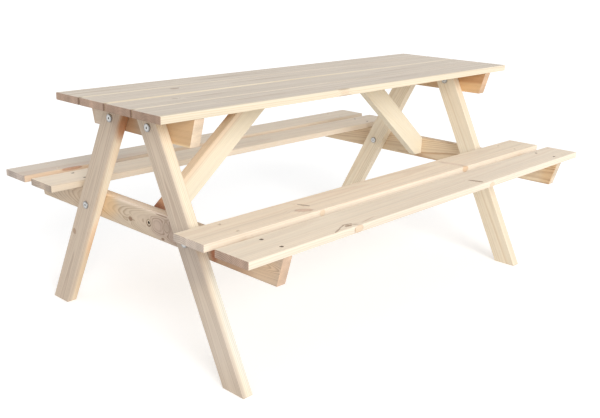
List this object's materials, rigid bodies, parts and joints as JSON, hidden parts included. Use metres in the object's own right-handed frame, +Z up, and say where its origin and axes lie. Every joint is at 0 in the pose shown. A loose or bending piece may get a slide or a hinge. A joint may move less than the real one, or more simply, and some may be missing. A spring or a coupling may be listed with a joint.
{
  "type": "kids picnic table",
  "caption": "Low wooden picnic table for children with a slatted bench along each long side, sloping bolted legs and diagonal braces.",
  "frame": {"origin": "on the floor under the middle of the table", "axes": "+X along the table, -Y towards the front bench, +Z up"},
  "size_m": [1.212, 0.811, 0.518],
  "materials": {
    "tabletop_pine": "planed, unfinished",
    "bench_pine": "planed, unfinished",
    "leg_pine": "planed, unfinished",
    "cross_bar_pine": "planed, unfinished",
    "brace_pine": "planed, unfinished",
    "bolt_zinc": "bright zinc plate",
    "screw_zinc": "dull zinc plate"
  },
  "bodies": {
    "root": {"tabletop_board_1": "tabletop_pine", "tabletop_board_2": "tabletop_pine", "tabletop_board_3": "tabletop_pine", "tabletop_board_4": "tabletop_pine", "bench_front_inner_board": "bench_pine", "bench_front_outer_board": "bench_pine", "bench_back_inner_board": "bench_pine", "bench_back_outer_board": "bench_pine", "leg_near_front": "leg_pine", "leg_near_back": "leg_pine", "leg_far_front": "leg_pine", "leg_far_back": "leg_pine", "top_batten_near": "cross_bar_pine", "top_batten_far": "cross_bar_pine", "seat_bearer_near": "cross_bar_pine", "seat_bearer_far": "cross_bar_pine", "brace_near": "brace_pine", "brace_far": "brace_pine", "bolt_near_front_upper": "bolt_zinc", "bolt_near_front_lower": "bolt_zinc", "bolt_near_back_upper": "bolt_zinc", "bolt_near_back_lower": "bolt_zinc", "bolt_far_front_upper": "bolt_zinc", "bolt_far_front_lower": "bolt_zinc", "bolt_far_back_upper": "bolt_zinc", "bolt_far_back_lower": "bolt_zinc", "cap_nut_near_front_upper": "bolt_zinc", "cap_nut_near_front_lower": "bolt_zinc", "cap_nut_near_back_upper": "bolt_zinc", "cap_nut_near_back_lower": "bolt_zinc", "cap_nut_far_front_upper": "bolt_zinc", "cap_nut_far_front_lower": "bolt_zinc", "cap_nut_far_back_upper": "bolt_zinc", "cap_nut_far_back_lower": "bolt_zinc", "brace_screw_near": "bolt_zinc", "brace_screw_far": "bolt_zinc", "bench_screw_near_front_inner_1": "screw_zinc", "bench_screw_near_front_inner_2": "screw_zinc", "bench_screw_near_front_outer_1": "screw_zinc", "bench_screw_near_front_outer_2": "screw_zinc", "bench_screw_near_back_inner_1": "screw_zinc", "bench_screw_near_back_inner_2": "screw_zinc", "bench_screw_near_back_outer_1": "screw_zinc", "bench_screw_near_back_outer_2": "screw_zinc", "bench_screw_far_front_inner_1": "screw_zinc", "bench_screw_far_front_inner_2": "screw_zinc", "bench_screw_far_front_outer_1": "screw_zinc", "bench_screw_far_front_outer_2": "screw_zinc", "bench_screw_far_back_inner_1": "screw_zinc", "bench_screw_far_back_inner_2": "screw_zinc", "bench_screw_far_back_outer_1": "screw_zinc", "bench_screw_far_back_outer_2": "screw_zinc", "top_screw_near_1": "screw_zinc", "top_screw_near_2": "screw_zinc", "top_screw_near_3": "screw_zinc", "top_screw_near_4": "screw_zinc", "top_screw_far_1": "screw_zinc", "top_screw_far_2": "screw_zinc", "top_screw_far_3": "screw_zinc", "top_screw_far_4": "screw_zinc"}
  },
  "joints": []
}
